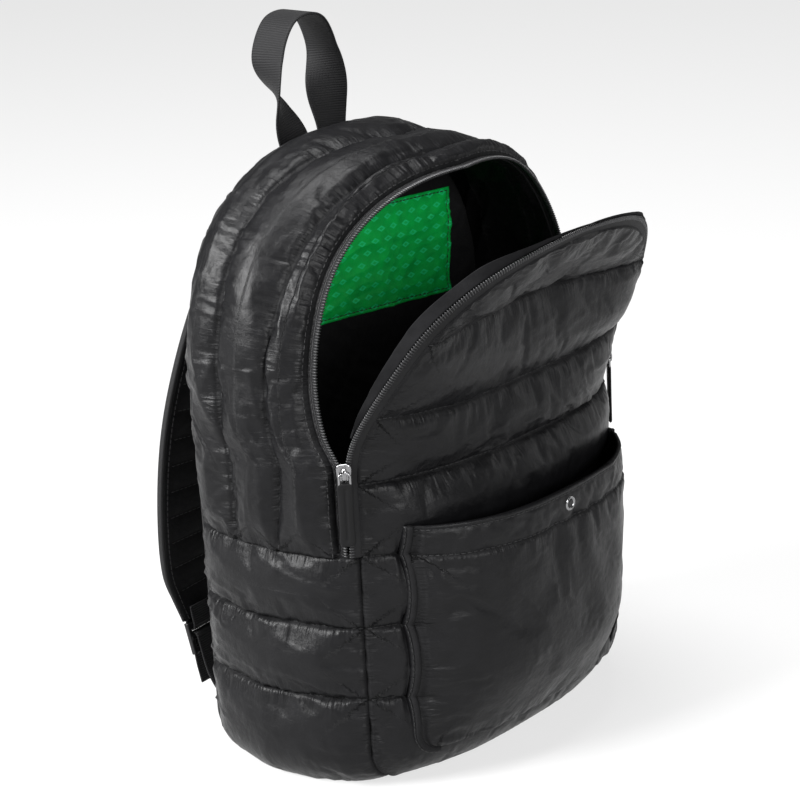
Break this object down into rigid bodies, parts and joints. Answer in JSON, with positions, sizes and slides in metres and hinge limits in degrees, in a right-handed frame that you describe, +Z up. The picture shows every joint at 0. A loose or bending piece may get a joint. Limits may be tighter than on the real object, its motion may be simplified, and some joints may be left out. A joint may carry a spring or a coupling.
{
  "type": "quilted backpack",
  "caption": "Quilted puffer backpack with an arched zip front panel leaning open, a patch pocket with a snap, a webbing carry loop and padded shoulder straps.",
  "frame": {"origin": "on the floor under the middle of the body, on the flat base that the bag stands on", "axes": "+X to the right of someone who faces the front, +Y from the front pocket towards the shoulder straps, +Z up"},
  "size_m": [0.3271, 0.3074, 0.505],
  "materials": {
    "shell_fabric": "satin",
    "lining_fabric": "satin",
    "printed_lining": "satin",
    "webbing": "matte",
    "zip_tape": "matte",
    "back_mesh": "matte",
    "label_fabric": "matte",
    "slider_metal": "satin",
    "snap_metal": "polished",
    "pull_rubber": "matte",
    "buckle_plastic": "matte"
  },
  "bodies": {
    "bag": {"front_panel": "shell_fabric", "upper_side": "shell_fabric", "lower_side": "shell_fabric", "back_panel": "back_mesh", "back_lining": "lining_fabric", "lining_patch": "printed_lining", "pocket": "shell_fabric", "snap": "snap_metal", "label": "label_fabric", "flap_facing": "lining_fabric", "carry_loop": "webbing", "zip_body_half": "zip_tape", "zip_flap_half": "zip_tape", "slider_left": "slider_metal", "shoulder_strap_left": "shell_fabric", "buckle_left": "buckle_plastic", "buckle_loop_left": "webbing", "lower_web_left": "webbing", "anchor_left": "webbing", "slider_right": "slider_metal", "shoulder_strap_right": "shell_fabric", "buckle_right": "buckle_plastic", "buckle_loop_right": "webbing", "lower_web_right": "webbing", "anchor_right": "webbing"},
    "zip_pull_left": {"pull_link_left": "slider_metal", "pull_tab_left": "pull_rubber"},
    "zip_pull_right": {"pull_link_right": "slider_metal", "pull_tab_right": "pull_rubber"}
  },
  "joints": [
    {"name": "zip_pull_left_hinge", "type": "hinge", "parent": "bag", "child": "zip_pull_left", "pos_m": [-0.14967, -0.06961, 0.23612], "axis": [-0.7071, 0.7071, 0], "range_deg": [0, 140]},
    {"name": "zip_pull_right_hinge", "type": "hinge", "parent": "bag", "child": "zip_pull_right", "pos_m": [0.14967, -0.06961, 0.23612], "axis": [-0.7071, -0.7071, 0], "range_deg": [0, 140]}
  ]
}
